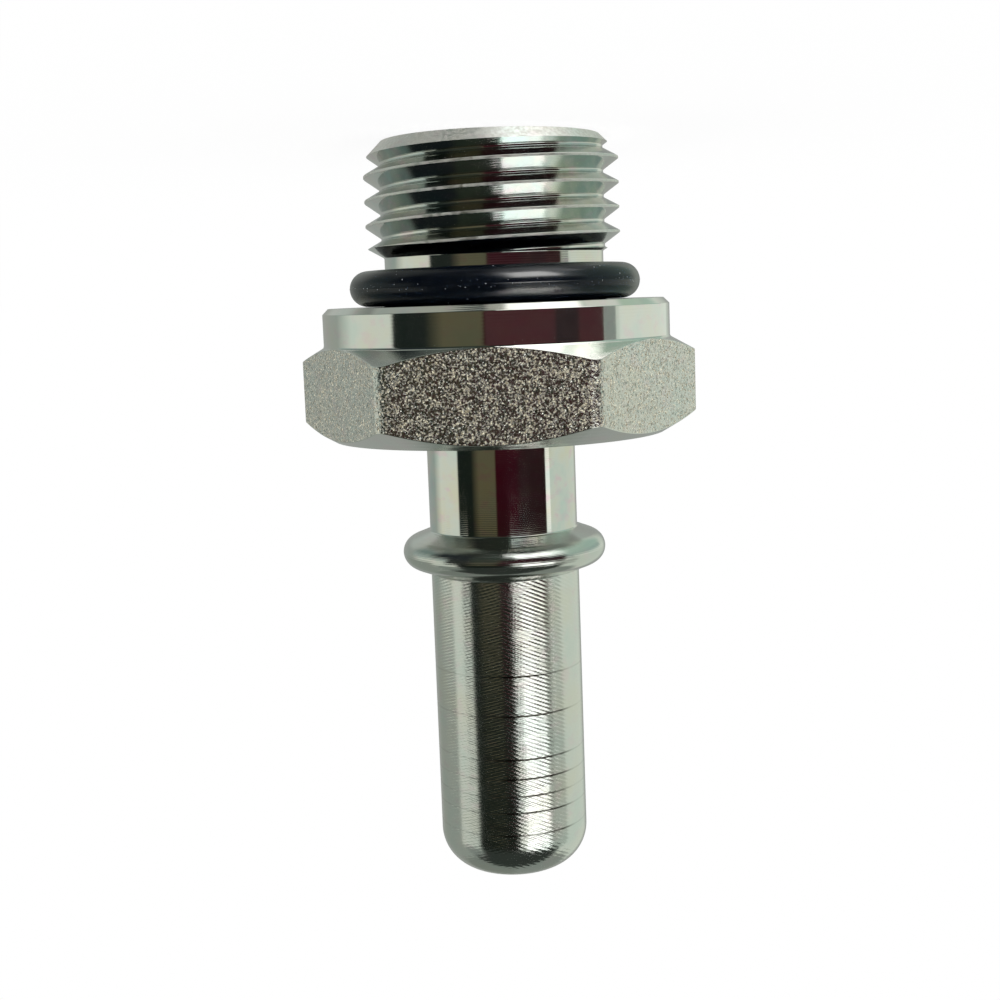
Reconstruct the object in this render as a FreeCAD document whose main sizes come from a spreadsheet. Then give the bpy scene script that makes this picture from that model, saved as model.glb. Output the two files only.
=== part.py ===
"""Quick disconnect coupling: the male half, with a port stud at one end and a push-in spigot at the other.

The body is one piece, turned from hexagon bar and plated. From the port side to the hose side it has an
M16 x 1.5 thread, an undercut that seats the O-ring, a round collar, the wrench hexagon, a neck, the bead that
a hose connector latches behind, and a plain spigot with a rounded tip. A bore runs right through it.
The O-ring is a piece of its own. It sits in the undercut, against the face of the collar.

Frame: +Z is the axis, from the thread to the spigot. The origin is the centre of the thread's end face, and
two of the hexagon's flats face +Y and -Y.
"""

import FreeCAD
import Part

import math
import os

import Sketcher

SHEET = "sizes"
PARTS_FOLDER = "parts"

# Driving sizes, in millimetres and degrees.
DRIVING_SIZES = (
    ("thread_major_dia", 15.86, "outside diameter of the M16 thread"),
    ("thread_pitch", 1.5, "rise of the thread in one turn"),
    ("thread_flank_angle", 30, "slope of each flank of the thread, from square to the axis"),
    ("thread_crest_width", 0.143, "width of the flat land on the thread's crest"),
    ("thread_run_in", 1.57, "how far below the end face the thread's groove is begun"),
    ("lead_in_dia", 13.6, "diameter of the end face, inside the lead-in chamfer"),
    ("stud_length", 10.1, "from the thread's end face to the face of the collar"),
    ("undercut_dia", 13.7, "diameter of the groove that seats the O-ring"),
    ("undercut_width", 3.0, "length of that groove, up to the face of the collar"),
    ("undercut_shoulder_angle", 30, "slope of the shoulder that ends the thread, from square to the axis"),
    ("o_ring_section", 2.2, "thickness of the O-ring's round section"),
    ("o_ring_clearance", 0.04, "gap between the O-ring and what it rests on"),
    ("collar_dia", 21.76, "diameter of the round collar"),
    ("collar_height", 2.4, "from the collar's face to the hexagon"),
    ("collar_chamfer", 0.36, "chamfer on the edge of the collar's face"),
    ("hexagon_across_flats", 21.8, "width of the hexagon bar over its flats"),
    ("hexagon_corner_radius", 0.95, "radius that rounds the six corners of the bar"),
    ("hexagon_height", 5.84, "from the collar to the hexagon's end face"),
    ("hexagon_chamfer_angle", 30, "slope of both chamfers of the hexagon, from square to the axis"),
    ("hexagon_face_dia", 20.9, "diameter of the hexagon's end face"),
    ("neck_dia", 9.43, "diameter of the neck between the hexagon and the bead"),
    ("neck_length", 7.36, "from the hexagon's end face to the middle of the bead"),
    ("bead_dia", 12.96, "diameter over the crest of the bead"),
    ("bead_crest_radius", 1.0, "radius of the bead's rounded crest"),
    ("bead_flank_angle", 21, "slope of the bead's flanks, from square to the axis"),
    ("spigot_dia", 9.49, "sealing diameter of the spigot"),
    ("spigot_length", 20.86, "from the middle of the bead to the end of the spigot"),
    ("tip_radius", 2.6, "radius that rounds the tip of the spigot"),
    ("bore_dia", 5.5, "diameter of the through bore"),
    ("bore_chamfer", 0.25, "chamfer at both ends of the bore"),
)

# Heights above the thread's end face, each worked out from the sizes before it.
COLLAR_FACE = "sizes.stud_length"
UNDERCUT_START = f"{COLLAR_FACE} - sizes.undercut_width"
COLLAR_END = f"{COLLAR_FACE} + sizes.collar_height"
HEXAGON_END = f"{COLLAR_END} + sizes.hexagon_height"
BEAD_MIDDLE = f"{HEXAGON_END} + sizes.neck_length"
SPIGOT_END = f"{BEAD_MIDDLE} + sizes.spigot_length"

# Radii that several outlines share.
CUT_OUTSIDE = "sizes.hexagon_across_flats"
BORE_MOUTH = "(sizes.bore_dia / 2 + sizes.bore_chamfer)"


def fill_sheet(doc):
    """Make the spreadsheet, with one named cell for each driving size."""
    sheet = doc.addObject("Spreadsheet::Sheet", SHEET)
    for row, (alias, value, meaning) in enumerate(DRIVING_SIZES, start=1):
        sheet.set(f"A{row}", meaning)
        sheet.set(f"B{row}", str(value))
        sheet.setAlias(f"B{row}", alias)
    doc.recompute()


def new_body(doc, label):
    """Make an empty body under the name of its piece."""
    body = doc.addObject("PartDesign::Body", label)
    body.Label = label
    body.Placement = FreeCAD.Placement()
    return body


def new_sketch(body, name, plane_role):
    """Attach an empty sketch to one of the body's own origin planes."""
    sketch = body.newObject("Sketcher::SketchObject", name)
    planes = [feature for feature in body.Origin.OriginFeatures if feature.Role == plane_role]
    sketch.AttachmentSupport = (planes[0], [""])
    sketch.MapMode = "FlatFace"
    return sketch


def place_point(sketch, geometry, point, name, across, up):
    """Tie one point of a sketch to the origin by two expressions, across and up."""
    for direction, axis, expression in (("DistanceX", -2, across), ("DistanceY", -1, up)):
        if expression == "0":
            sketch.addConstraint(Sketcher.Constraint("PointOnObject", geometry, point, axis))
            continue
        value = float(sketch.evalExpression(expression))
        index = sketch.addConstraint(Sketcher.Constraint(direction, -1, 1, geometry, point, value))
        label = f"{name}_{'across' if direction == 'DistanceX' else 'up'}"
        sketch.renameConstraint(index, label)
        sketch.setExpression(f"Constraints.{label}", expression)


def arc_between(start, end, radius, bulges_left):
    """Return the short arc from start to end, which bulges to the left or to the right of that way."""
    chord = end - start
    middle = (start + end) / 2
    left = FreeCAD.Vector(-chord.y, chord.x, 0).normalize()
    side = 1 if bulges_left else -1
    to_centre = math.sqrt(max(radius**2 - (chord.Length / 2) ** 2, 0))
    crown = middle + left * side * (radius - to_centre)
    return Part.Arc(start, crown, end)


def draw_outline(sketch, corners):
    """Draw a closed outline whose corners, and the radii of whose arcs, follow the spreadsheet.

    Each corner is a name and two expressions, for how far across and how far up it lies. A corner may add an
    arc's radius and the side to which it bulges, left or right, and the edge to the next corner is that arc.
    """
    points = []
    for corner in corners:
        across = float(sketch.evalExpression(corner[1]))
        up = float(sketch.evalExpression(corner[2]))
        points.append(FreeCAD.Vector(across, up, 0))
    edges = []
    for index, corner in enumerate(corners):
        start = points[index]
        end = points[(index + 1) % len(corners)]
        if len(corner) == 3:
            edges.append(sketch.addGeometry(Part.LineSegment(start, end)))
            continue
        radius = float(sketch.evalExpression(corner[3]))
        edges.append(sketch.addGeometry(arc_between(start, end, radius, corner[4] == "left")))
    # An arc made through three points may run backwards, so each edge's start is looked up.
    ends = []
    for index, edge in enumerate(edges):
        runs_forward = sketch.getPoint(edge, 1).distanceToPoint(points[index]) < 1e-6
        ends.append((1, 2) if runs_forward else (2, 1))
    for index, edge in enumerate(edges):
        following = (index + 1) % len(edges)
        sketch.addConstraint(
            Sketcher.Constraint("Coincident", edge, ends[index][1], edges[following], ends[following][0])
        )
    for index, corner in enumerate(corners):
        place_point(sketch, edges[index], ends[index][0], corner[0], corner[1], corner[2])
        if len(corner) > 3:
            radius = float(sketch.evalExpression(corner[3]))
            constraint = sketch.addConstraint(Sketcher.Constraint("Radius", edges[index], radius))
            sketch.renameConstraint(constraint, f"{corner[0]}_radius")
            sketch.setExpression(f"Constraints.{corner[0]}_radius", corner[3])


def turn_away(body, sketch, name):
    """Cut a sketched outline out of the body all round its axis, as on a lathe."""
    groove = body.newObject("PartDesign::Groove", name)
    groove.Profile = sketch
    groove.ReferenceAxis = (sketch, ["V_Axis"])
    groove.Angle = 360
    sketch.Visibility = False
    return groove


def make_fitting_body(doc):
    """Make the one-piece metal body: hexagon bar, turned on both sides, bored and threaded."""
    body = new_body(doc, "fitting_body")

    # The bar, as long as the finished piece.
    section = new_sketch(body, "bar_section", "XY_Plane")
    draw_hexagon(section)
    bar = body.newObject("PartDesign::Pad", "bar")
    bar.Profile = section
    bar.setExpression("Length", SPIGOT_END)
    section.Visibility = False
    doc.recompute()

    # Port side: lead-in chamfer, thread blank, undercut, collar and the hexagon's first chamfer.
    port = new_sketch(body, "port_side", "XZ_Plane")
    draw_outline(port, port_side_outline())
    turn_away(body, port, "port_side_turning")

    # Hose side: the hexagon's second chamfer, neck, bead, spigot and rounded tip.
    hose = new_sketch(body, "hose_side", "XZ_Plane")
    draw_outline(hose, hose_side_outline())
    turn_away(body, hose, "hose_side_turning")

    # The through bore, chamfered at both ends.
    bore = new_sketch(body, "bore", "XZ_Plane")
    draw_outline(bore, bore_outline())
    turn_away(body, bore, "boring")
    doc.recompute()

    # The thread: one helical groove, from below the end face up into the undercut.
    groove_section = new_sketch(body, "thread_groove", "XZ_Plane")
    draw_outline(groove_section, thread_groove_outline())
    thread = body.newObject("PartDesign::SubtractiveHelix", "thread")
    thread.Profile = groove_section
    thread.ReferenceAxis = (groove_section, ["V_Axis"])
    thread.Mode = 0
    thread.setExpression("Pitch", "sizes.thread_pitch")
    thread.setExpression("Height", f"sizes.thread_run_in + {UNDERCUT_START} + sizes.thread_pitch / 2")
    thread.LeftHanded = False
    groove_section.Visibility = False
    doc.recompute()
    return body


def draw_hexagon(sketch):
    """Draw the bar's hexagon with rounded corners, and two flats square to the sketch's vertical axis."""
    flat = "sizes.hexagon_across_flats / 2"
    half_width = f"({flat} - sizes.hexagon_corner_radius) * tan(30)"
    corners = []
    for number in range(6):
        facing = 30 + 60 * number
        for end, side in (("start", "-"), ("end", "+")):
            across = f"{flat} * cos({facing}) - ({side}({half_width})) * sin({facing})"
            up = f"{flat} * sin({facing}) + ({side}({half_width})) * cos({facing})"
            corner = (f"flat_{number + 1}_{end}", across, up)
            if end == "end":
                corner += ("sizes.hexagon_corner_radius", "right")
            corners.append(corner)
    draw_outline(sketch, corners)


def port_side_outline():
    """Return what is turned away on the port side, from the end face to the hexagon's first chamfer."""
    thread = "sizes.thread_major_dia / 2"
    lead_in = "sizes.lead_in_dia / 2"
    undercut = "sizes.undercut_dia / 2"
    shoulder = f"{UNDERCUT_START} - ({thread} - {undercut}) * tan(sizes.undercut_shoulder_angle)"
    collar = "sizes.collar_dia / 2"
    slope = "tan(sizes.hexagon_chamfer_angle)"
    return (
        ("end_face", lead_in, "0"),
        ("lead_in", thread, f"{thread} - {lead_in}"),
        ("thread_end", thread, shoulder),
        ("undercut_start", undercut, UNDERCUT_START),
        ("undercut_end", undercut, COLLAR_FACE),
        ("collar_edge", f"{collar} - sizes.collar_chamfer", COLLAR_FACE),
        ("collar_side", collar, f"{COLLAR_FACE} + sizes.collar_chamfer"),
        ("collar_foot", collar, COLLAR_END),
        ("outside_top", CUT_OUTSIDE, f"{COLLAR_END} + ({CUT_OUTSIDE} - {collar}) * {slope}"),
        ("outside_bottom", CUT_OUTSIDE, "0"),
    )


def hose_side_outline():
    """Return what is turned away on the hose side, from the hexagon's second chamfer to the tip."""
    face = "sizes.hexagon_face_dia / 2"
    neck = "sizes.neck_dia / 2"
    spigot = "sizes.spigot_dia / 2"
    slope = "tan(sizes.hexagon_chamfer_angle)"
    crest_centre = "(sizes.bead_dia / 2 - sizes.bead_crest_radius)"
    flank_top = f"{crest_centre} + sizes.bead_crest_radius * sin(sizes.bead_flank_angle)"
    half_crest = "sizes.bead_crest_radius * cos(sizes.bead_flank_angle)"
    flank_run = "tan(sizes.bead_flank_angle)"
    bead_foot = f"{BEAD_MIDDLE} - {half_crest} - ({flank_top} - {neck}) * {flank_run}"
    spigot_foot = f"{BEAD_MIDDLE} + {half_crest} + ({flank_top} - {spigot}) * {flank_run}"
    # The tip's radius runs in to the mouth of the bore, or stops sooner where it is smaller than that.
    tip_face = f"max({BORE_MOUTH}; {spigot} - sizes.tip_radius)"
    tip_rise = f"sqrt(pow(sizes.tip_radius; 2) - pow({tip_face} - {spigot} + sizes.tip_radius; 2))"
    return (
        ("outside_bottom", CUT_OUTSIDE, f"{HEXAGON_END} - ({CUT_OUTSIDE} - {face}) * {slope}"),
        ("hexagon_face", face, HEXAGON_END),
        ("neck_foot", neck, HEXAGON_END),
        ("bead_start", neck, bead_foot),
        ("bead_crest", flank_top, f"{BEAD_MIDDLE} - {half_crest}", "sizes.bead_crest_radius", "right"),
        ("bead_flank", flank_top, f"{BEAD_MIDDLE} + {half_crest}"),
        ("bead_end", spigot, spigot_foot),
        ("tip_start", spigot, f"{SPIGOT_END} - {tip_rise}", "sizes.tip_radius", "right"),
        ("tip_end", tip_face, SPIGOT_END),
        ("outside_top", CUT_OUTSIDE, SPIGOT_END),
    )


def bore_outline():
    """Return what is bored away, from the axis out to the bore and its two end chamfers."""
    bore = "sizes.bore_dia / 2"
    return (
        ("axis_bottom", "0", "0"),
        ("mouth_bottom", BORE_MOUTH, "0"),
        ("bore_bottom", bore, "sizes.bore_chamfer"),
        ("bore_top", bore, f"{SPIGOT_END} - sizes.bore_chamfer"),
        ("mouth_top", BORE_MOUTH, SPIGOT_END),
        ("axis_top", "0", SPIGOT_END),
    )


def thread_groove_outline():
    """Return the groove's section: a flat bottom, two flanks, and an open side just outside the thread."""
    flank_run = "tan(sizes.thread_flank_angle)"
    half_bottom = "sizes.thread_pitch / 8"
    half_mouth = "(sizes.thread_pitch - sizes.thread_crest_width) / 2"
    bottom = f"sizes.thread_major_dia / 2 - ({half_mouth} - {half_bottom}) / {flank_run}"
    past_crest = "sizes.thread_pitch / 32"
    outside = f"sizes.thread_major_dia / 2 + {past_crest}"
    half_outside = f"{half_mouth} + {past_crest} * {flank_run}"
    middle = "-sizes.thread_run_in"
    return (
        ("bottom_low", bottom, f"{middle} - {half_bottom}"),
        ("outside_low", outside, f"{middle} - ({half_outside})"),
        ("outside_high", outside, f"{middle} + ({half_outside})"),
        ("bottom_high", bottom, f"{middle} + {half_bottom}"),
    )


def make_o_ring(doc):
    """Make the O-ring, stretched into the undercut and against the collar's face."""
    body = new_body(doc, "o_ring")
    sketch = new_sketch(body, "o_ring_section", "XZ_Plane")
    radius = "sizes.o_ring_section / 2"
    across = f"sizes.undercut_dia / 2 + sizes.o_ring_clearance + {radius}"
    up = f"{COLLAR_FACE} - sizes.o_ring_clearance - {radius}"
    centre = FreeCAD.Vector(float(sketch.evalExpression(across)), float(sketch.evalExpression(up)), 0)
    size = float(sketch.evalExpression(radius))
    circle = sketch.addGeometry(Part.Circle(centre, FreeCAD.Vector(0, 0, 1), size))
    place_point(sketch, circle, 3, "section_middle", across, up)
    constraint = sketch.addConstraint(Sketcher.Constraint("Radius", circle, size))
    sketch.renameConstraint(constraint, "section_radius")
    sketch.setExpression("Constraints.section_radius", radius)
    ring = body.newObject("PartDesign::Revolution", "ring")
    ring.Profile = sketch
    ring.ReferenceAxis = (sketch, ["V_Axis"])
    ring.Angle = 360
    sketch.Visibility = False
    doc.recompute()
    return body


def check_document(doc, bodies):
    """Stop if a feature failed or a piece isn't one valid solid."""
    for item in doc.Objects:
        if "Invalid" in item.State or "Error" in item.State:
            raise RuntimeError(f"{item.Label} failed: {item.State} {item.getStatusString()}")
    for body in bodies:
        shape = body.Shape
        if shape.isNull() or not shape.isValid() or len(shape.Solids) != 1:
            raise RuntimeError(f"{body.Label} isn't one valid solid")


def main():
    """Build both pieces and write each to its own file."""
    doc = FreeCAD.newDocument("quick_disconnect_coupling")
    fill_sheet(doc)
    bodies = (make_fitting_body(doc), make_o_ring(doc))
    doc.recompute()
    check_document(doc, bodies)
    os.makedirs(PARTS_FOLDER, exist_ok=True)
    for body in bodies:
        body.Shape.exportStep(os.path.join(PARTS_FOLDER, f"{body.Label}.step"))
        print(f"{body.Label}: {body.Shape.Volume:.1f} cubic millimetres")


main()
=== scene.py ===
"""Quick disconnect coupling, male half: its looks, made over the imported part.

The metal body is turned from one hexagon bar, so it is one mesh: an outline spun round the axis, cut to the
bar's six flats and threaded. The O-ring is a second mesh. Both are modelled in millimetres, and brought to
metres at the end.
"""

import logging
import math
from dataclasses import dataclass, field
from enum import Enum
from typing import Callable, Sequence

import bpy
from mathutils import Matrix, Vector

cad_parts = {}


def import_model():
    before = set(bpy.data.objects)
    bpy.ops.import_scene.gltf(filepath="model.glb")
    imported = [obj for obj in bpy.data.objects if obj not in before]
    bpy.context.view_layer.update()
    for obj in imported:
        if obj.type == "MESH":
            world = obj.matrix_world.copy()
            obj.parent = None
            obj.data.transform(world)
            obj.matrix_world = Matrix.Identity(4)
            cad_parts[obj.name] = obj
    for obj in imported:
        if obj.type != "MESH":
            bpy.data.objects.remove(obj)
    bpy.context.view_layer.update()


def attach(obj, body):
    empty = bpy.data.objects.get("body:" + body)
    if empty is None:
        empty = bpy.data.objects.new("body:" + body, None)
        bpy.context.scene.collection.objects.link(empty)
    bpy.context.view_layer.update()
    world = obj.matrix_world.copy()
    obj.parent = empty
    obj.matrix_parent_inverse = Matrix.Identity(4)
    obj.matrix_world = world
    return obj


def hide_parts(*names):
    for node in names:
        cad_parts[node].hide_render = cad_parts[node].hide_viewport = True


LOG = logging.getLogger("coupling")

MILLIMETRE = 0.001
MERGE_DISTANCE = 0.0005
LARGE_FACE_WEIGHT = 80
HALF_SIDE = math.radians(30.0)

Point = tuple[float, float]
Limits = tuple[float, float]
Triple = tuple[float, float, float]
Colour = tuple[float, float, float]
Tint = Colour | bpy.types.NodeSocket
Reading = "Signal | float"


class Zone(Enum):
    """The regions of the turned body, each with a finish of its own."""

    END_FACE = "end_face"
    CREST = "crest"
    THREAD = "thread"
    # The thread's downward flanks, whose darker steel is painted shade.
    THREAD_UNDERSIDE = "thread_underside"
    UNDERCUT = "undercut"
    COLLAR = "collar"
    CHAMFER = "chamfer"
    FLAT = "flat"
    NECK = "neck"
    BEAD = "bead"
    SPIGOT = "spigot"
    BORE = "bore"


@dataclass(frozen=True)
class Cloud:
    """The settings of a noise: its features in one unit, its finer layers, and how strong each of them is."""

    scale: float
    layers: float = 2.0
    strength: float = 0.5


class Signal:
    """A number on its way through a node tree. Arithmetic on it adds the Math nodes that work it out."""

    def __init__(self, desk: "NodeDesk", socket: bpy.types.NodeSocket) -> None:
        """Keep the desk, and the output socket that the number comes from."""
        self.desk = desk
        self.socket = socket

    def __add__(self, other: Reading) -> "Signal":
        """Return the sum of two numbers."""
        return self.desk.maths("ADD", self, other)

    def __radd__(self, other: Reading) -> "Signal":
        """Return the sum, where the plain number stands first."""
        return self.desk.maths("ADD", other, self)

    def __sub__(self, other: Reading) -> "Signal":
        """Return the difference of two numbers."""
        return self.desk.maths("SUBTRACT", self, other)

    def __rsub__(self, other: Reading) -> "Signal":
        """Return the difference, where the plain number stands first."""
        return self.desk.maths("SUBTRACT", other, self)

    def __mul__(self, other: Reading) -> "Signal":
        """Return the product of two numbers."""
        return self.desk.maths("MULTIPLY", self, other)

    def __rmul__(self, other: Reading) -> "Signal":
        """Return the product, where the plain number stands first."""
        return self.desk.maths("MULTIPLY", other, self)

    def __truediv__(self, other: Reading) -> "Signal":
        """Return one number over another."""
        return self.desk.maths("DIVIDE", self, other)

    def __rtruediv__(self, other: Reading) -> "Signal":
        """Return one number over another, where the plain number stands first."""
        return self.desk.maths("DIVIDE", other, self)

    def __neg__(self) -> "Signal":
        """Return the number with its sign turned."""
        return self.desk.maths("MULTIPLY", self, -1.0)

    def sine(self) -> "Signal":
        """Return the sine of an angle in radians."""
        return self.desk.maths("SINE", self)

    def absolute(self) -> "Signal":
        """Return the number without its sign."""
        return self.desk.maths("ABSOLUTE", self)

    def at_most(self, other: Reading) -> "Signal":
        """Return the smaller of two numbers."""
        return self.desk.maths("MINIMUM", self, other)

    def at_least(self, other: Reading) -> "Signal":
        """Return the larger of two numbers."""
        return self.desk.maths("MAXIMUM", self, other)

    def ramped(self, low: float, high: float) -> "Signal":
        """Return a smooth step from 0 at low to 1 at high. It falls where high is the smaller one."""
        return self.desk.smooth_step(self, low, high)

    def lifted(self, least: float) -> "Signal":
        """Return a number from 0 to 1 as one from a least value to 1."""
        return self * (1.0 - least) + least

    def centred(self, width: float) -> "Signal":
        """Return noise from 0 to 1 as a number round 0, with a width from its lowest to its highest."""
        return (self - 0.5) * width


class NodeDesk:
    """A node tree under work, with the few ways in which this object's nodes are added and joined."""

    def __init__(self, tree: bpy.types.NodeTree) -> None:
        """Start on the tree of a material or of the world, and clear it."""
        self.tree = tree
        self.tree.nodes.clear()

    @classmethod
    def for_material(cls, name: str) -> tuple[bpy.types.Material, "NodeDesk"]:
        """Make a material with an empty tree.

        Args:
            name: The material's name.

        Returns:
            The material and its desk.
        """
        material = bpy.data.materials.new(name)
        material.use_nodes = True
        return material, cls(material.node_tree)

    def add(self, kind: str, settings: dict | None = None, inputs: dict | None = None) -> bpy.types.Node:
        """Add one node, give it its settings, then fill its sockets.

        Args:
            kind: The node's type.
            settings: Its properties. "stops" is a ramp's list of position and colour.
            inputs: Values, signals or sockets, by the input's name or number.

        Returns:
            The node.
        """
        node = self.tree.nodes.new(kind)
        for name, value in (settings or {}).items():
            if name == "stops":
                self._set_stops(node, value)
            else:
                setattr(node, name, value)
        for key, value in (inputs or {}).items():
            socket = node.inputs[key]
            if isinstance(value, Signal):
                self.tree.links.new(value.socket, socket)
            elif isinstance(value, bpy.types.NodeSocket):
                self.tree.links.new(value, socket)
            else:
                socket.default_value = value
        return node

    @staticmethod
    def _set_stops(node: bpy.types.Node, stops: Sequence[tuple[float, Colour]]) -> None:
        """Give a colour ramp its stops.

        Args:
            node: The ramp.
            stops: Position and colour of each stop, in rising order.
        """
        elements = node.color_ramp.elements
        while len(elements) < len(stops):
            elements.new(1.0)
        for element, (position, colour) in zip(elements, stops):
            element.position = position
            element.color = (*colour, 1.0)

    def maths(self, operation: str, *values: Reading) -> Signal:
        """Add a Math node for an operation on some values, and return its result."""
        node = self.add("ShaderNodeMath", {"operation": operation}, dict(enumerate(values)))
        return Signal(self, node.outputs[0])

    def smooth_step(self, value: Signal, low: float, high: float) -> Signal:
        """Add a smooth step from 0 at one value to 1 at another.

        Args:
            value: The number that is tested.
            low: Where the result is 0.
            high: Where the result is 1.

        Returns:
            A number from 0 to 1.
        """
        if high < low:
            return 1.0 - self.smooth_step(value, high, low)
        node = self.add(
            "ShaderNodeMapRange",
            {"interpolation_type": "SMOOTHSTEP"},
            {"Value": value, "From Min": low, "From Max": high},
        )
        return Signal(self, node.outputs["Result"])

    def dot(self, vector: bpy.types.NodeSocket, other: Triple) -> Signal:
        """Return how far a vector reaches along another one, which is plain numbers."""
        node = self.add("ShaderNodeVectorMath", {"operation": "DOT_PRODUCT"}, {0: vector, 1: other})
        return Signal(self, node.outputs["Value"])

    def stretched(self, vector: bpy.types.NodeSocket, scale: Triple) -> bpy.types.NodeSocket:
        """Return the socket of a vector scaled by three factors, along x, y and z."""
        node = self.add("ShaderNodeVectorMath", {"operation": "MULTIPLY"}, {0: vector, 1: scale})
        return node.outputs["Vector"]

    def combined(self, across: Reading, along: Reading, up: Reading) -> bpy.types.NodeSocket:
        """Return the socket of the vector that three numbers make."""
        return self.add("ShaderNodeCombineXYZ", None, {0: across, 1: along, 2: up}).outputs[0]

    def noise(self, vector: bpy.types.NodeSocket, cloud: Cloud) -> Signal:
        """Return cloudy noise from 0 to 1, read at a vector."""
        inputs = {"Vector": vector, "Scale": cloud.scale, "Detail": cloud.layers, "Roughness": cloud.strength}
        return Signal(self, self.add("ShaderNodeTexNoise", None, inputs).outputs["Fac"])

    def cells(self, vector: bpy.types.NodeSocket, scale: float) -> tuple[Signal, bpy.types.NodeSocket]:
        """Return the distance to the middle of scattered cells, and the socket of each cell's own colour."""
        node = self.add("ShaderNodeTexVoronoi", None, {"Vector": vector, "Scale": scale})
        return Signal(self, node.outputs["Distance"]), node.outputs["Color"]

    def blend(self, factor: Reading, first: Tint, second: Tint) -> bpy.types.NodeSocket:
        """Blend two colours.

        Args:
            factor: 0 for the first colour, 1 for the second.
            first: A colour or a colour's socket.
            second: A colour or a colour's socket.

        Returns:
            The blended colour's socket.
        """
        pair = [(*value, 1.0) if isinstance(value, tuple) else value for value in (first, second)]
        settings = {"data_type": "RGBA", "clamp_factor": True}
        return self.add("ShaderNodeMix", settings, {0: factor, 6: pair[0], 7: pair[1]}).outputs[2]

    def part_of(self, colour: bpy.types.NodeSocket, number: int) -> Signal:
        """Return a channel of a colour, or a coordinate of a vector, by its number."""
        node = self.add("ShaderNodeSeparateXYZ", None, {0: colour})
        return Signal(self, node.outputs[number])

    def millimetres(self) -> bpy.types.NodeSocket:
        """Return the place on the piece in millimetres."""
        place = self.add("ShaderNodeTexCoord").outputs["Object"]
        return self.stretched(place, (1.0 / MILLIMETRE,) * 3)

    def lead_out(self, shader: bpy.types.Node, relief: Signal) -> None:
        """Put a relief on a material's shader, and lead the shader to the output.

        Args:
            shader: The shader.
            relief: The height above the plain surface, in millimetres.
        """
        bump = self.add("ShaderNodeBump", None, {"Strength": 1.0, "Distance": MILLIMETRE, "Height": relief})
        self.tree.links.new(bump.outputs["Normal"], shader.inputs["Normal"])
        self.add("ShaderNodeOutputMaterial", None, {"Surface": shader.outputs["BSDF"]})


SPIGOT_RADIUS = 4.745
O_RING_HEIGHT = 8.96
SCORE_LINES = (33.1, 35.64, 38.44, 39.70, 40.81, 41.89, 43.36)

WHITE = (1.0, 1.0, 1.0)
STRAW = (0.76, 0.71, 0.58)
PINK = (0.78, 0.60, 0.67)
TEAL = (0.56, 0.70, 0.68)
# The colour of the skin's dark specks and of the painted shade in the score lines.
SPECK_AND_SHADE_COLOUR = (0.06, 0.055, 0.045)

STRAW_LIMITS = (0.45, 0.7)
PINK_LIMITS = (0.5, 0.72)
TEAL_LIMITS = (0.52, 0.3)
STREAK_SHAPE = (1.0, 1.0, 1.7)
SPECK_SHAPE = (1.0, 1.0, 0.8)
LEAST_ROUGHNESS = 0.03

FILM_PATCHES = Cloud(0.33, 3.0, 0.6)
FILM_STREAKS = Cloud(0.9)
SKIN_SPECKS = Cloud(6.5, 3.0, 0.6)
SCORE_FADING = Cloud(0.45)
HAZE_PATCHES = Cloud(1.3, 4.0, 0.65)
LATHE_PASSES = Cloud(4.0, 2.0, 0.6)
EMERY_PATCHES = Cloud(2.5, 3.0, 0.6)


@dataclass(frozen=True)
class EmeryMarks:
    """One family of the slanting emery marks on the spigot.

    The slope is its rise along the axis for each millimetre round the spigot. The strength is a share of
    the hatch's height.
    """

    slope: float
    pitch: float
    strength: float

    def wave(self, along: Signal, arc: Signal) -> Signal:
        """Return the marks' wave at a place along the axis and round the spigot, in millimetres."""
        return ((along + arc * self.slope) * (math.tau / self.pitch)).sine() * self.strength


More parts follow.
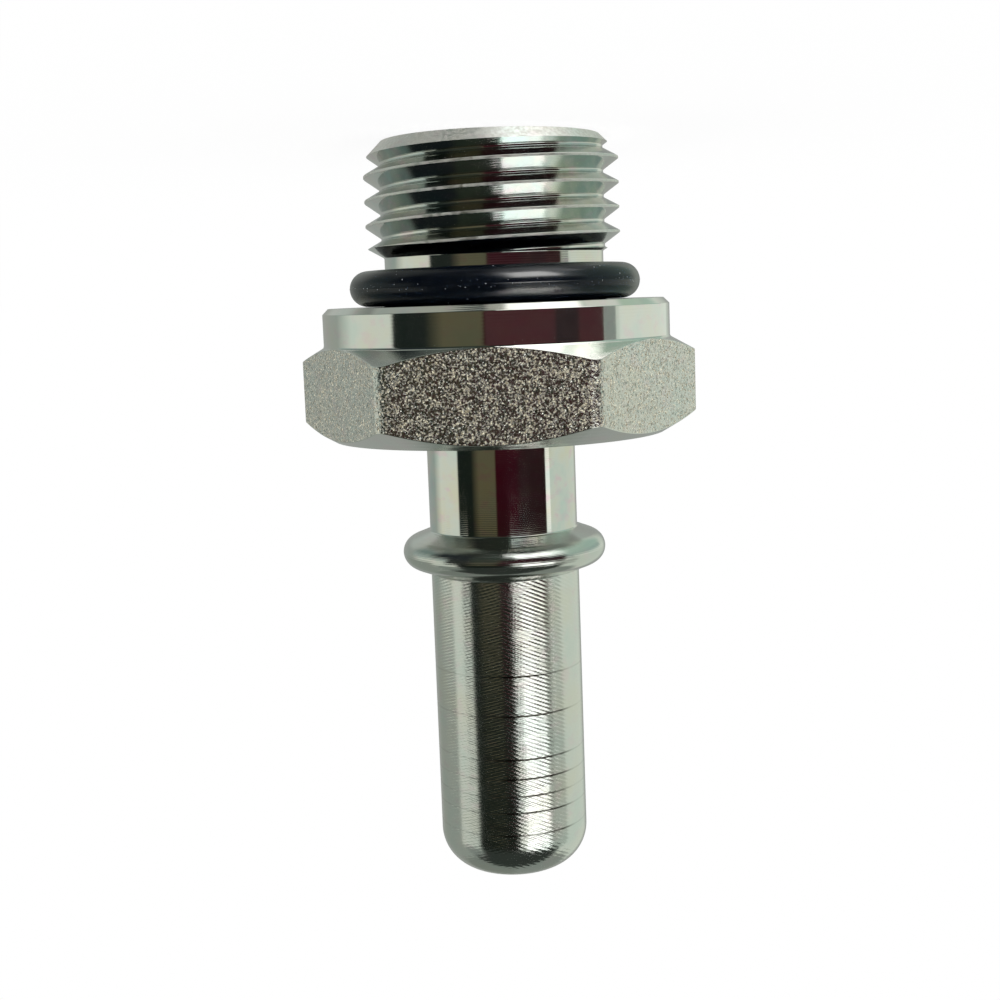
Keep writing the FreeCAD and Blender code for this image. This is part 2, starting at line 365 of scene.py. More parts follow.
@dataclass(frozen=True)
class SteelFinish:
    """Zinc plated steel as one tool left it, with the thin passivate film over it.

    Heights, pitches and places are in millimetres. A pair of limits says where a mask is 0 and where it is 1.
    The scales of craters, clumps and painted glints are factors on the scale of the pits or of the matt
    grains.
    On the wrench flats the matt grains and their pale points are painted sparkle. The darker colours of the
    bead and of the thread's downward flanks, and the dark score lines, are painted shade.
    """

    name: str
    colour: Colour = (0.72, 0.73, 0.70)
    film: float = 0.5
    roughness: float = 0.12
    cloudiness: float = 0.05
    ring_pitch: float = 0.115
    ring_height: float = 0.001
    ring_unevenness: float = 0.6
    hatch_height: float = 0.0
    hatch_right: EmeryMarks = EmeryMarks(0.46, 0.26, 1.0)
    hatch_left: EmeryMarks = EmeryMarks(-0.3, 0.2, 0.6)
    hatch_turn: Limits = (0.12, -0.1)
    hatch_limits: Limits = (0.3, 0.6)
    grain_height: float = 0.0
    grain_scale: float = 3.0
    pit_height: float = 0.0
    pit_scale: float = 6.0
    crater_scale: float = 0.8
    crater_limits: Limits = (0.05, 0.45)
    crater_depth: float = 0.6
    specks: float = 0.0
    speck_limits: Limits = (0.54, 0.64)
    matt: float = 0.0
    matt_scale: float = 4.0
    matt_limits: Limits = (0.3, 0.7)
    matt_roughness: float = 0.3
    clumps: float = 0.0
    clump_scale: float = 0.27
    crust_and_painted_sparkle: Colour = (0.38, 0.36, 0.31)
    painted_glints: Colour | None = None
    painted_glint_scale: float = 1.36
    painted_glint_limits: Limits = (0.5, 0.62)
    painted_shade_lines: tuple[float, ...] = ()
    line_edges: Limits = (0.08, 0.035)
    line_start: Limits = (1.8, -0.3)
    line_end: Limits = (-4.2, -3.0)
    line_fading: Limits = (0.32, 0.55)
    faded_strength: float = 0.5
    far_strength: float = 0.12

    def make(self) -> bpy.types.Material:
        """Make the material.

        Returns:
            The finished material.
        """
        material, desk = NodeDesk.for_material(self.name)
        place = desk.millimetres()
        shader = desk.add("ShaderNodeBsdfPrincipled", None, {"Metallic": 1.0})
        colour = self.film_colour(desk, place)
        rough = self.haze(desk, place)
        # Matt grains turn non-metallic and take the crust's colour; on the wrench flats they and their pale
        # points are painted sparkle.
        if self.matt:
            dull = self.dullness(desk, place)
            colour = desk.blend(dull, colour, self.crust_and_sparkle_colour(desk, place))
            rough = rough + dull * self.matt_roughness
            desk.tree.links.new((1.0 - dull).socket, shader.inputs["Metallic"])
        desk.tree.links.new(colour, shader.inputs["Base Color"])
        desk.tree.links.new(rough.socket, shader.inputs["Roughness"])
        desk.lead_out(shader, self.relief(desk, place))
        return material

    def dullness(self, desk: NodeDesk, place: bpy.types.NodeSocket) -> Signal:
        """Tell where the plating is a dull crust: on the bar's skin, and where the part has been rubbed. On
        the wrench flats its grains are also painted sparkle, which stands in for the glints of the pitted
        skin.

        Args:
            desk: The material's desk.
            place: Where on the piece, in millimetres.

        Returns:
            0 on bright metal, 1 on the crust.
        """
        grains = desk.noise(place, Cloud(self.matt_scale))
        if self.clumps:
            patches = desk.noise(place, Cloud(self.matt_scale * self.clump_scale))
            grains = grains + patches.centred(self.clumps)
        return grains.ramped(*self.matt_limits) * self.matt

    def crust_and_sparkle_colour(self, desk: NodeDesk, place: bpy.types.NodeSocket) -> Tint:
        """Give the crust its colour, with painted glints in it as pale points, where the finish has them.

        Args:
            desk: The material's desk.
            place: Where on the piece, in millimetres.

        Returns:
            The colour or its socket.
        """
        if self.painted_glints is None:
            return self.crust_and_painted_sparkle
        points = desk.noise(place, Cloud(self.matt_scale * self.painted_glint_scale, 1.0))
        return desk.blend(points.ramped(*self.painted_glint_limits), self.crust_and_painted_sparkle, self.painted_glints)

    def film_colour(self, desk: NodeDesk, place: bpy.types.NodeSocket) -> bpy.types.NodeSocket:
        """Tint the steel here and there with the pink, blue and straw of the passivate film.

        Args:
            desk: The material's desk.
            place: Where on the piece, in millimetres.

        Returns:
            The colour's socket.
        """
        wide = desk.noise(place, FILM_PATCHES)
        fine = desk.noise(desk.stretched(place, STREAK_SHAPE), FILM_STREAKS)
        straw = desk.blend(wide.ramped(*STRAW_LIMITS) * self.film, self.colour, STRAW)
        pink = desk.blend(fine.ramped(*PINK_LIMITS) * self.film, straw, PINK)
        tinted = desk.blend(wide.ramped(*TEAL_LIMITS) * self.film, pink, TEAL)
        # Darken with the skin's dark specks and the painted shade of the score lines.
        return desk.blend(self.specks_and_painted_shade(desk, place), tinted, SPECK_AND_SHADE_COLOUR)

    def specks_and_painted_shade(self, desk: NodeDesk, place: bpy.types.NodeSocket) -> Reading:
        """Tell where the steel is dark: in the specks of the bar's skin and in the spigot's score lines.

        The dark of the lines is painted shade, which stands in for the dark that these grooves mirror. It is
        strongest from the middle to near the -X side, on the lamp's side, at the front and the back, and
        faint elsewhere.

        Args:
            desk: The material's desk.
            place: Where on the piece, in millimetres.

        Returns:
            0 where the steel keeps its colour, 1 where it is darkest.
        """
        dark: Reading = 0.0
        if self.specks:
            spots = desk.noise(desk.stretched(place, SPECK_SHAPE), SKIN_SPECKS)
            dark = spots.ramped(*self.speck_limits) * self.specks
        # Painted shade along each score line.
        if self.painted_shade_lines:
            faded = desk.noise(place, SCORE_FADING).ramped(*self.line_fading)
            across = desk.dot(place, (1, 0, 0))
            strong_side = across.ramped(*self.line_start) * across.ramped(*self.line_end)
            strength = faded.lifted(self.faded_strength) * strong_side.lifted(self.far_strength)
            for height in self.painted_shade_lines:
                beside = (desk.part_of(place, 2) - height).absolute()
                dark = (beside.ramped(*self.line_edges) * strength).at_least(dark)
        return dark

    def haze(self, desk: NodeDesk, place: bpy.types.NodeSocket) -> Signal:
        """Return the roughness, which varies in soft patches."""
        patches = desk.noise(place, HAZE_PATCHES)
        return (self.roughness + patches.centred(2.0 * self.cloudiness)).at_least(LEAST_ROUGHNESS)

    def relief(self, desk: NodeDesk, place: bpy.types.NodeSocket) -> Signal:
        """Add up the tool's rings, the emery marks, the grain and the pits.

        Args:
            desk: The material's desk.
            place: Where on the piece, in millimetres.

        Returns:
            The height above the plain surface, in millimetres.
        """
        height = self.rings(desk, place)
        if self.hatch_height:
            height = height + self.hatch(desk, place)
        if self.grain_height:
            grain = desk.noise(place, Cloud(self.grain_scale, 5.0, 0.6))
            height = height + grain.centred(self.grain_height)
        if self.pit_height:
            height = height + self.pits(desk, place)
        return height

    def rings(self, desk: NodeDesk, place: bpy.types.NodeSocket) -> Signal:
        """Make the fine rings that the lathe's feed leaves, deeper on one ring than on the next.

        Args:
            desk: The material's desk.
            place: Where on the piece, in millimetres.

        Returns:
            Their height in millimetres.
        """
        across = desk.part_of(place, 0)
        depth = desk.part_of(place, 1)
        radius = desk.maths("SQRT", across * across + depth * depth)
        travel = desk.part_of(place, 2) + radius
        wave = (travel * (math.tau / self.ring_pitch)).sine()
        passes = desk.noise(desk.combined(0.0, 0.0, travel), LATHE_PASSES)
        strength = 1.0 + passes.centred(2.0 * self.ring_unevenness)
        return wave * strength * self.ring_height

    def hatch(self, desk: NodeDesk, place: bpy.types.NodeSocket) -> Signal:
        """Make the spigot's slanting emery marks, which lean one way on its right and the other on its left.

        Args:
            desk: The material's desk.
            place: Where on the piece, in millimetres.

        Returns:
            Their height in millimetres.
        """
        across = desk.dot(place, (1, 0, 0))
        depth = desk.dot(place, (0, 1, 0))
        along = desk.part_of(place, 2)
        angle = desk.maths("ARCTAN2", across, -depth)
        arc = angle * SPIGOT_RADIUS
        kept = desk.noise(desk.combined(angle, 0.0, along), EMERY_PATCHES).ramped(*self.hatch_limits)
        right = angle.ramped(*self.hatch_turn)
        marks = self.hatch_right.wave(along, arc) * right + self.hatch_left.wave(along, arc) * (1.0 - right)
        return marks * kept * self.hatch_height

    def pits(self, desk: NodeDesk, place: bpy.types.NodeSocket) -> Signal:
        """Make the rough, pitted skin of the drawn bar, which is left on the wrench flats.

        Args:
            desk: The material's desk.
            place: Where on the piece, in millimetres.

        Returns:
            Their height in millimetres.
        """
        coarse = desk.noise(place, Cloud(self.pit_scale, 3.0, 0.55))
        distance, _ = desk.cells(place, self.pit_scale * self.crater_scale)
        return (coarse + distance.ramped(*self.crater_limits) * self.crater_depth) * self.pit_height


@dataclass(frozen=True)
class Dust:
    """Specks of dust on the rubber: how many there are, how large, and which of them are left out."""

    scale: float
    limits: Limits
    chance: Limits

    def cover(self, desk: NodeDesk, place: bpy.types.NodeSocket) -> Signal:
        """Return 0 on bare rubber and 1 in the middle of a speck."""
        distance, luck = desk.cells(place, self.scale)
        return distance.ramped(*self.limits) * desk.part_of(luck, 0).ramped(*self.chance)


@dataclass(frozen=True)
class RubberFinish:
    """The O-ring's moulded rubber, with a little dust on it. Heights and places are in millimetres."""

    name: str = "nitrile_rubber"
    colour: Colour = (0.0014, 0.0028, 0.0060)
    bloom: Colour = (0.006, 0.007, 0.008)
    bloom_strength: float = 0.35
    bloom_limits: Limits = (0.4, 0.75)
    # The specks' pale colour. Along the flash line the pale specks are dust and also painted glints of the
    # line.
    dust: Colour = (0.42, 0.45, 0.47)
    loose_dust: Dust = Dust(2.6, (0.14, 0.04), (0.80, 0.9))
    line_dust_and_glints: Dust = Dust(4.2, (0.22, 0.08), (0.55, 0.65))
    line_glint_dust_shape: Triple = (1.0, 1.0, 1.6)
    dust_height: float = 0.016
    dust_roughness: float = 0.3
    parting: float = O_RING_HEIGHT
    parting_limits: Limits = (0.3, 0.05)
    roughness: float = 0.2
    unevenness: float = 0.12
    gloss: float = 0.28
    patches: Cloud = Cloud(1.6, 4.0, 0.6)
    mould: Cloud = Cloud(9.0, 3.0, 0.6)
    mould_shape: Triple = (1.0, 1.0, 2.0)
    mould_height: float = 0.0025

    def make(self) -> bpy.types.Material:
        """Make the material.

        Returns:
            The finished material.
        """
        material, desk = NodeDesk.for_material(self.name)
        place = desk.millimetres()
        height = desk.part_of(place, 2)
        beside = (height - self.parting).absolute().ramped(*self.parting_limits)
        # Dust along the flash line, which also paints the line's glints.
        line_dust_and_glints = self.line_dust_and_glints.cover(desk, desk.stretched(place, self.line_glint_dust_shape)) * beside
        specks = line_dust_and_glints.at_least(self.loose_dust.cover(desk, place))
        patches = desk.noise(place, self.patches)
        mould = desk.noise(desk.stretched(place, self.mould_shape), self.mould)
        skin = desk.blend(patches.ramped(*self.bloom_limits) * self.bloom_strength, self.colour, self.bloom)
        shader = desk.add(
            "ShaderNodeBsdfPrincipled",
            None,
            {
                "Base Color": desk.blend(specks, skin, self.dust),
                "Roughness": self.roughness + patches.centred(self.unevenness) + specks * self.dust_roughness,
                "Specular IOR Level": self.gloss,
            },
        )
        desk.lead_out(shader, mould * self.mould_height + specks * self.dust_height)
        return material


FINISHES: dict[Zone, SteelFinish] = {
    Zone.END_FACE: SteelFinish(
        "faced_steel", film=0.3, roughness=0.3, cloudiness=0.1, ring_pitch=0.16, ring_height=0.003,
        grain_height=0.003, grain_scale=5.0, matt=0.45, matt_scale=4.5,
    ),
    Zone.CREST: SteelFinish(
        "crest_steel", colour=(0.66, 0.67, 0.63), film=0.3, roughness=0.3, ring_pitch=0.16, ring_height=0.001,
        grain_height=0.004, grain_scale=5.0, matt=0.6, matt_scale=3.0, crust_and_painted_sparkle=(0.44, 0.44, 0.40),
    ),
    Zone.THREAD: SteelFinish(
        "threaded_steel", film=0.45, roughness=0.1, ring_pitch=0.19, ring_height=0.0003, grain_height=0.0006,
    ),
    # A darker copy of the thread's steel on its downward flanks: painted shade.
    Zone.THREAD_UNDERSIDE: SteelFinish(
        "painted_shade_thread_steel", colour=(0.42, 0.46, 0.45), film=0.3, roughness=0.1, ring_pitch=0.19,
        ring_height=0.0003, grain_height=0.0006,
    ),
    Zone.UNDERCUT: SteelFinish("grooved_steel", roughness=0.08, ring_pitch=0.14, ring_height=0.0002),
    Zone.COLLAR: SteelFinish(
        "collar_steel", film=0.4, roughness=0.07, ring_pitch=0.2, ring_height=0.0003, grain_height=0.0006,
    ),
    Zone.CHAMFER: SteelFinish(
        "chamfered_steel", film=0.2, ring_pitch=0.17, ring_height=0.0006, grain_height=0.0015,
    ),
    # On the flats the matt grains and their pale points are painted sparkle, over the dull skin.
    Zone.FLAT: SteelFinish(
        "pitted_steel", colour=(0.67, 0.68, 0.65), film=0.25, roughness=0.13, ring_height=0.0,
        pit_height=0.04, pit_scale=4.4, specks=0.6, matt=0.9, matt_scale=8.29, matt_limits=(0.46, 0.68),
        clumps=0.3, crust_and_painted_sparkle=(0.21, 0.165, 0.08), painted_glints=(1.0, 0.94, 0.7),
    ),
    Zone.NECK: SteelFinish("bright_steel", film=0.8, roughness=0.06, ring_height=0.0003),
    # The bead's steel is darker than the rest: painted shade, which dims what the bead mirrors.
    Zone.BEAD: SteelFinish(
        "beaded_steel", colour=(0.63, 0.65, 0.62), film=0.2, roughness=0.14, ring_pitch=0.1,
        ring_height=0.0012, grain_height=0.003, grain_scale=5.0,
    ),
    # Its score lines carry painted shade.
    Zone.SPIGOT: SteelFinish(
        "satin_steel", film=0.3, roughness=0.15, ring_pitch=0.085, ring_height=0.0008, hatch_height=0.0038,
        painted_shade_lines=SCORE_LINES,
    ),
    Zone.BORE: SteelFinish(
        "bored_steel", colour=(0.6, 0.6, 0.57), roughness=0.35, ring_pitch=0.3, ring_height=0.004,
    ),
}


class Bench:
    """The modelling bench: the operators that both pieces are made with."""

    @staticmethod
    def clear() -> None:
        """Leave nothing selected."""
        if bpy.context.object and bpy.context.object.mode != "OBJECT":
            bpy.ops.object.mode_set(mode="OBJECT")
        bpy.ops.object.select_all(action="DESELECT")

    @staticmethod
    def take(piece: bpy.types.Object) -> None:
        """Select one piece alone and make it the active one.

        Args:
            piece: The piece.
        """
        Bench.clear()
        piece.select_set(True)
        bpy.context.view_layer.objects.active = piece

    @staticmethod
    def draw_chain(name: str, points: Sequence[Vector]) -> bpy.types.Object:
        """Draw a closed chain of edges, each point extruded from the one before it.

        Args:
            name: The piece's name.
            points: The chain's corners. The chain goes back to the first one by itself.

        Returns:
            The piece, in object mode.
        """
        Bench.clear()
        bpy.ops.mesh.primitive_plane_add(size=1.0, location=(0.0, 0.0, 0.0))
        piece = bpy.context.object
        piece.name = name
        bpy.ops.object.mode_set(mode="EDIT")
        bpy.ops.mesh.select_mode(type="VERT")
        bpy.ops.mesh.select_all(action="SELECT")
        bpy.ops.mesh.merge(type="CENTER")
        bpy.ops.transform.translate(value=points[0])
        for start, end in zip(points, [*points[1:], points[0]]):
            bpy.ops.mesh.extrude_region_move(TRANSFORM_OT_translate={"value": end - start})
        bpy.ops.mesh.select_all(action="SELECT")
        bpy.ops.mesh.remove_doubles(threshold=MERGE_DISTANCE)
        bpy.ops.object.mode_set(mode="OBJECT")
        return piece

    @staticmethod
    def spin_round(piece: bpy.types.Object, steps: int) -> None:
        """Spin a closed outline once round the axis into a closed solid.

        Args:
            piece: The outline.
            steps: How many steps one turn has.
        """
        Bench.take(piece)
        bpy.ops.object.mode_set(mode="EDIT")
        bpy.ops.mesh.select_all(action="SELECT")
        bpy.ops.mesh.spin(steps=steps, angle=math.tau, center=(0.0, 0.0, 0.0), axis=(0.0, 0.0, 1.0))
        Bench.close_up(piece)

    @staticmethod
    def select_faces(piece: bpy.types.Object, wanted: Callable[[bpy.types.MeshPolygon], bool]) -> int:
        """Select the faces that a test accepts, and leave the piece in edit mode.

        Args:
            piece: The piece, in object mode.
            wanted: The test.

        Returns:
            How many faces are selected.
        """
        Bench.take(piece)
        bpy.ops.object.mode_set(mode="EDIT")
        bpy.ops.mesh.select_mode(type="FACE")
        bpy.ops.mesh.select_all(action="DESELECT")
        bpy.ops.object.mode_set(mode="OBJECT")
        count = 0
        for face in piece.data.polygons:
            face.select = wanted(face)
            count += face.select
        bpy.ops.object.mode_set(mode="EDIT")
        return count

    @staticmethod
    def select_edges(piece: bpy.types.Object, wanted: Callable[[Vector, Vector], bool]) -> None:
        """Select the edges whose two ends a test accepts, and leave the piece in edit mode.

        Args:
            piece: The piece, in object mode.
            wanted: The test.
        """
        Bench.take(piece)
        bpy.ops.object.mode_set(mode="EDIT")
        bpy.ops.mesh.select_mode(type="EDGE")
        bpy.ops.mesh.select_all(action="DESELECT")
        bpy.ops.object.mode_set(mode="OBJECT")
        corners = piece.data.vertices
        for edge in piece.data.edges:
            edge.select = wanted(corners[edge.vertices[0]].co, corners[edge.vertices[1]].co)
        bpy.ops.object.mode_set(mode="EDIT")

    @staticmethod
    def combine(piece: bpy.types.Object, tool: bpy.types.Object, operation: str) -> None:
        """Work on a piece with another solid, and put that solid away.

        Args:
            piece: The piece.
            tool: The other solid.
            operation: What is done, as the Boolean modifier names it.
        """
        Bench.take(piece)
        bpy.ops.object.modifier_add(type="BOOLEAN")
        work = piece.modifiers[-1]
        work.operation = operation
        work.solver = "EXACT"
        work.object = tool
        bpy.ops.object.modifier_apply(modifier=work.name)
        Bench.take(tool)
        bpy.ops.object.delete()
        Bench.close_up(piece)

    @staticmethod
    def close_up(piece: bpy.types.Object) -> None:
        """Merge a piece's doubled corners and turn its faces outwards.

        Args:
            piece: The piece.
        """
        Bench.take(piece)
        bpy.ops.object.mode_set(mode="EDIT")
        bpy.ops.mesh.select_all(action="SELECT")
        bpy.ops.mesh.remove_doubles(threshold=MERGE_DISTANCE)
        bpy.ops.mesh.normals_make_consistent(inside=False)
        bpy.ops.object.mode_set(mode="OBJECT")

    @staticmethod
    def smooth(piece: bpy.types.Object, sharp_angle: float) -> None:
        """Shade a piece smooth, with its sharp edges kept and its large faces shaded flat.

        Args:
            piece: The piece.
            sharp_angle: Edges sharper than this many degrees stay sharp.
        """
        Bench.take(piece)
        bpy.ops.object.shade_smooth_by_angle(angle=math.radians(sharp_angle))
        bpy.ops.object.modifier_add(type="WEIGHTED_NORMAL")
        weighting = piece.modifiers[-1]
        weighting.keep_sharp = True
        weighting.weight = LARGE_FACE_WEIGHT
        bpy.ops.object.modifier_apply(modifier=weighting.name)

    @staticmethod
    def bring_to_metres(piece: bpy.types.Object) -> None:
        """Scale a finished piece from millimetres to metres, with its place in its mesh.

        Args:
            piece: The piece.
        """
        Bench.take(piece)
        piece.scale = (MILLIMETRE, MILLIMETRE, MILLIMETRE)
        bpy.ops.object.transform_apply(location=True, rotation=True, scale=True)

    @staticmethod
    def hand_over(piece: bpy.types.Object, node: str, slot: str) -> None:
        """Put a finished piece in the place of its plain solid.

        Args:
            piece: The finished piece.
            node: The node that it stands for.
            slot: The record's material slot. It is not used.
        """
        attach(piece, "root")
        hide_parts(node)
        LOG.info("%s: %d faces, stands for %s", piece.name, len(piece.data.polygons), node)


class Outline:
    """The outline that a turned piece is spun from: how far out, and how far up, in millimetres."""

    def __init__(self) -> None:
        """Start with an empty outline."""
        self.points: list[Point] = []

    def line_to(self, out: float, up: float) -> "Outline":
        """Go straight to a point, and return the outline."""
        self.points.append((out, up))
        return self

    def round_corner(self, out: float, up: float, after: Point, radius: float, steps: int = 3) -> "Outline":
        """Go to a corner and round it off, on the way to the point after it.

        Args:
            out: How far out the sharp corner would be.
            up: How far up it would be.
            after: The next point.
            radius: The radius of the rounding.
            steps: How many edges the rounding has.

        Returns:
            The outline.
        """
        corner = Vector((out, up))
        back = (Vector(self.points[-1]) - corner).normalized()
        forth = (Vector(after) - corner).normalized()
        half = back.angle(forth) / 2
        reach = radius / math.tan(half)
        centre = corner + (back + forth).normalized() * (radius / math.sin(half))
        start = corner + back * reach - centre
        end = corner + forth * reach - centre
        for step in range(steps + 1):
            spoke = start.slerp(end, step / steps).normalized() * radius
            self.line_to(centre.x + spoke.x, centre.y + spoke.y)
        return self

    def arc(self, centre: Point, radius: float, first: float, last: float, steps: int) -> "Outline":
        """Follow an arc.

        Args:
            centre: The arc's centre.
            radius: Its radius.
            first: The angle of its first point, in degrees from straight out.
            last: The angle of its last point.
            steps: How many edges it has.

        Returns:
            The outline.
        """
        for step in range(steps + 1):
            angle = math.radians(first + (last - first) * step / steps)
            self.line_to(centre[0] + radius * math.cos(angle), centre[1] + radius * math.sin(angle))
        return self

    def placed(self, azimuth: float) -> list[Vector]:
        """Place the points in space, in a half plane that ends at the axis.

        Args:
            azimuth: Where the half plane is, in degrees from +X.

        Returns:
            The points.
        """
        across = math.cos(math.radians(azimuth))
        along = math.sin(math.radians(azimuth))
        return [Vector((out * across, out * along, up)) for out, up in self.points]


@dataclass
class ThreadTool:
    """The helical tool that cuts the thread: one groove section swept up a right-hand helix."""

    crest_radius: float = 7.93
    crest_width: float = 0.13
    root_radius: float = 6.98
    pitch: float = 1.5
    start: float = -1.57
    lower_flank: float = 35.5
    upper_flank: float = 29.0
    root_round: float = 0.08
    root_steps: int = 4
    crest_break: float = 0.03
    crest_flare: float = 2.2
    turns: int = 7
    steps: int = 144

    def half_opening(self) -> float:
        """Return half the groove's width between its two crests."""
        return (self.pitch - self.crest_width) / 2

    def lower_wall(self, radius: float) -> float:
        """Return the height of the groove's lower wall at a radius."""
        rise = (self.crest_radius - radius) * math.tan(math.radians(self.lower_flank))
        return self.start + (rise - self.half_opening())

    def upper_wall(self, radius: float) -> float:
        """Return the height of the groove's upper wall at a radius."""
        fall = (self.crest_radius - radius) * math.tan(math.radians(self.upper_flank))
        return self.start + (self.half_opening() - fall)

    def section(self) -> Outline:
        """Draw the groove's section, with a rounded root and slightly broken crests.

        Returns:
            The section, closed.
        """
        near = self.crest_radius - self.crest_break
        past = self.crest_radius + self.crest_break
        flare = self.crest_break * self.crest_flare
        low = self.lower_wall(near)
        high = self.upper_wall(near)
        root = self.root_radius
        root_low = self.lower_wall(root)
        root_high = self.upper_wall(root)
        outline = Outline()
        outline.line_to(past, low - flare)
        outline.line_to(near, low)
        middle = (root, (root_low + root_high) / 2)
        outline.round_corner(root, root_low, middle, self.root_round, self.root_steps)
        outline.round_corner(root, root_high, (near, high), self.root_round, self.root_steps)
        outline.line_to(near, high)
        outline.line_to(past, high + flare)
        return outline

    def make(self) -> bpy.types.Object:
        """Sweep the section up the helix.

        Returns:
            The tool, a closed solid.
        """
        tool = Bench.draw_chain("thread_tool", self.section().placed(0.0))
        Bench.take(tool)
        bpy.ops.object.modifier_add(type="SCREW")
        screw = tool.modifiers[-1]
        screw.axis = "Z"
        screw.angle = math.tau
        screw.screw_offset = self.pitch
        screw.iterations = self.turns
        screw.steps = self.steps
        screw.render_steps = self.steps
        screw.use_smooth_shade = False
        bpy.ops.object.modifier_apply(modifier=screw.name)
        bpy.ops.object.mode_set(mode="EDIT")
        bpy.ops.mesh.select_all(action="SELECT")
        bpy.ops.mesh.remove_doubles(threshold=MERGE_DISTANCE)
        bpy.ops.mesh.fill_holes(sides=0)
        Bench.close_up(tool)
        return tool


@dataclass
class HexagonBar:
    """The drawn hexagon bar that the body is turned from."""

    half_flats: float = 10.9
    corner_radius: float = 0.95
    corner_steps: int = 10
    length: float = 80.0
    below: float = 10.0

    def make(self) -> bpy.types.Object:
        """Make a length of the bar, with rounded corners and two flats square to Y.

        Returns:
            The bar, a closed solid.
        """
        Bench.clear()
        bpy.ops.mesh.primitive_cylinder_add(
            vertices=6,
            radius=self.half_flats / math.cos(HALF_SIDE),
            depth=self.length,
            location=(0.0, 0.0, self.length / 2 - self.below),
            rotation=(0.0, 0.0, HALF_SIDE),
        )
        bar = bpy.context.object
        bar.name = "hexagon_bar"
        bpy.ops.object.transform_apply(location=True, rotation=True, scale=True)
        Bench.select_edges(bar, lambda start, end: abs(start.z - end.z) > self.length / 2)
        reach = self.corner_radius * math.tan(HALF_SIDE)
        bpy.ops.mesh.bevel(offset=reach, segments=self.corner_steps, affect="EDGES")
        bpy.ops.object.mode_set(mode="OBJECT")
        return bar


